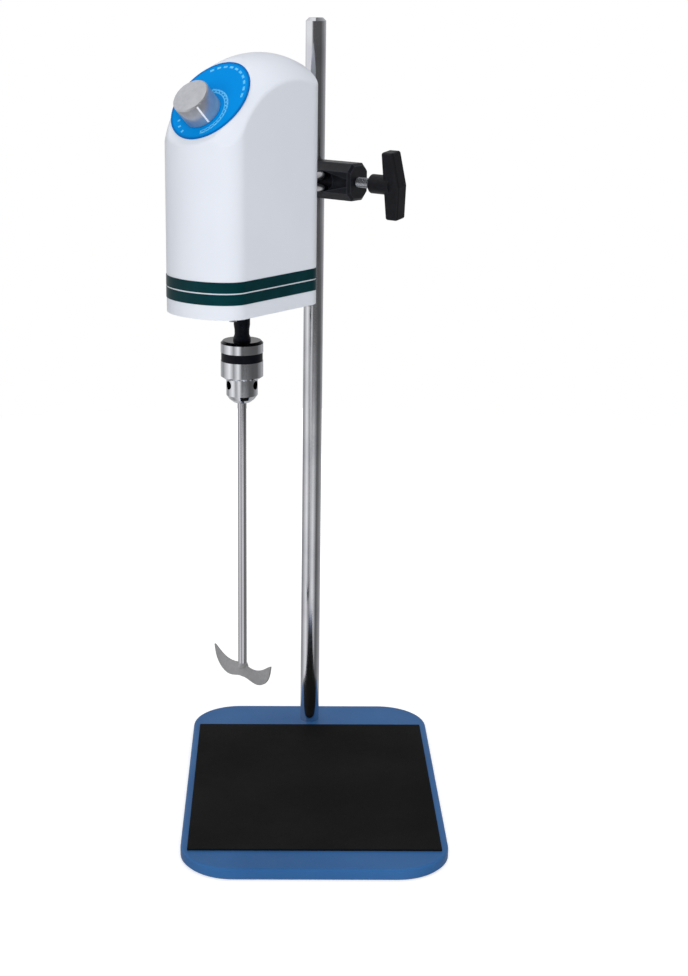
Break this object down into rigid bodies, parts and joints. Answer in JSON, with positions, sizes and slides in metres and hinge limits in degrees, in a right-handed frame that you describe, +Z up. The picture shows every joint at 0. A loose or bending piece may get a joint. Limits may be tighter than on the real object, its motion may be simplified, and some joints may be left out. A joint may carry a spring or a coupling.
{
  "type": "overhead stirrer",
  "caption": "Laboratory overhead stirrer: motor head clamped to a pillar on a flat base, with a keyed chuck driving a propeller stirring shaft.",
  "frame": {"origin": "centre of the base's underside, on the bench", "axes": "+Z up along the pillar, +Y from the front edge of the base towards the pillar, +X to the right seen from the front"},
  "size_m": [0.2127, 0.3, 0.6],
  "materials": {
    "base_blue": "blue stoving enamel on cast iron",
    "mat_black": "matt black sheet",
    "rubber_black": "matt",
    "screw_steel": "zinc plated",
    "pillar_chrome": "bright chromed steel bar",
    "clamp_black": "black stoved casting",
    "pad_brass": "machined",
    "handle_black": "black moulded resin",
    "insert_steel": "knurled insert",
    "housing_white": "gloss white enamel",
    "floor_grey": "grey enamel on steel sheet",
    "stripe_green": "dark green adhesive tape",
    "dial_blue": "printed blue plate",
    "knob_aluminium": "turned and spun",
    "alloy": "cast alloy",
    "pot_body": "moulded",
    "nut_nickel": "nickel plated",
    "bar_steel": "bright chromed steel bar",
    "motor_steel": "dark grey",
    "laminations": "stacked steel sheets",
    "copper": "enamelled copper wire",
    "bearing_steel": "ground",
    "holder_brown": "moulded phenolic",
    "carbon": "pressed carbon",
    "fan_black": "moulded nylon",
    "board_green": "printed circuit board",
    "component_mix": "moulded parts",
    "adaptor_black": "blackened steel",
    "chuck_chrome": "polished hardened steel",
    "grip_black": "black knurled band",
    "jaw_steel": "hardened",
    "shaft_steel": "polished stainless steel",
    "propeller_steel": "matt stainless steel"
  },
  "bodies": {
    "base": {"base_plate": "base_blue", "work_mat": "mat_black", "rubber_feet": "rubber_black", "foot_screws": "screw_steel"},
    "pillar": {"pillar": "pillar_chrome"},
    "clamp": {"clamp_body": "clamp_black"},
    "pad": {"pressure_pad": "pad_brass"},
    "clamp_screw": {"clamp_screw": "screw_steel", "clamp_handle": "handle_black", "handle_insert": "insert_steel"},
    "head": {"housing_shell": "housing_white", "bottom_plate": "floor_grey", "bottom_screws": "screw_steel", "stripe_tapes": "stripe_green", "dial_plate": "dial_blue", "potentiometer": "pot_body", "potentiometer_nut": "nut_nickel", "bar_socket": "alloy", "socket_grub_screw": "screw_steel", "socket_screws": "screw_steel", "mounting_bar": "bar_steel", "cord_grommet": "rubber_black", "motor_lower_cap": "alloy", "motor_screws": "screw_steel", "motor_bearings": "bearing_steel", "motor_case": "motor_steel", "motor_upper_cap": "alloy", "stator_core": "laminations", "field_coils": "copper", "brush_holders": "holder_brown", "carbon_brushes": "carbon", "brush_springs": "screw_steel", "circuit_board": "board_green", "board_screws": "screw_steel", "board_components": "component_mix"},
    "knob": {"speed_knob": "knob_aluminium", "knob_grub_screw": "screw_steel", "potentiometer_shaft": "alloy"},
    "spindle": {"motor_shaft": "bearing_steel", "armature_core": "laminations", "armature_windings": "copper", "commutator": "copper", "cooling_fan": "fan_black", "spindle_adaptor": "adaptor_black", "adaptor_screw": "screw_steel", "chuck_body": "chuck_chrome", "stirring_shaft": "shaft_steel", "propeller": "propeller_steel"},
    "sleeve": {"chuck_sleeve": "chuck_chrome", "sleeve_grip": "grip_black", "chuck_nut": "jaw_steel"},
    "jaw_1": {"chuck_jaw_1": "jaw_steel"},
    "jaw_2": {"chuck_jaw_2": "jaw_steel"},
    "jaw_3": {"chuck_jaw_3": "jaw_steel"}
  },
  "joints": [
    {"name": "head_swing", "type": "hinge", "parent": "base", "child": "pillar", "pos_m": [0, 0.122, 0.009], "axis": [0, 0, 1], "range_deg": [-90, 90]},
    {"name": "head_height", "type": "slide", "parent": "pillar", "child": "clamp", "axis": [0, 0, 1], "range_m": [-0.07, 0.1]},
    {"name": "screw_advance", "type": "slide", "parent": "clamp", "child": "pad", "axis": [0.766, -0.6428, 0], "range_m": [0, 0.0025]},
    {"name": "screw_turn", "type": "hinge", "parent": "pad", "child": "clamp_screw", "pos_m": [0.04596, 0.08343, 0.476], "axis": [0.766, -0.6428, 0], "range_deg": [0, 721]},
    {"name": "arm_tilt", "type": "hinge", "parent": "clamp", "child": "head", "pos_m": [0.01249, 0.11152, 0.476], "axis": [0.6428, 0.766, 0], "range_deg": [-45, 45]},
    {"name": "knob_turn", "type": "hinge", "parent": "head", "child": "knob", "pos_m": [-0.08289, -0.00214, 0.53612], "axis": [-0.4769, -0.5684, 0.6704], "range_deg": [-27, 273]},
    {"name": "spindle_spin", "type": "hinge", "parent": "head", "child": "spindle", "pos_m": [-0.05629, 0.02956, 0.375], "axis": [0, 0, 1], "continuous": true},
    {"name": "sleeve_turn", "type": "hinge", "parent": "spindle", "child": "sleeve", "pos_m": [-0.05629, 0.02956, 0.343], "axis": [0, 0, 1], "range_deg": [0, 1350]},
    {"name": "jaw_1_slide", "type": "slide", "parent": "spindle", "child": "jaw_1", "axis": [0.1473, 0.092, 0.9848], "range_m": [0, 0.005]},
    {"name": "jaw_2_slide", "type": "slide", "parent": "spindle", "child": "jaw_2", "axis": [-0.1533, 0.0815, 0.9848], "range_m": [0, 0.005]},
    {"name": "jaw_3_slide", "type": "slide", "parent": "spindle", "child": "jaw_3", "axis": [0.0061, -0.1735, 0.9848], "range_m": [0, 0.005]}
  ],
  "couplings": [
    {"joint": "screw_turn", "follows": "screw_advance", "rad_per_m": 5026.5},
    {"joint": "jaw_1_slide", "follows": "sleeve_turn", "m_per_rad": 0.00020213},
    {"joint": "jaw_2_slide", "follows": "sleeve_turn", "m_per_rad": 0.00020213},
    {"joint": "jaw_3_slide", "follows": "sleeve_turn", "m_per_rad": 0.00020213}
  ]
}
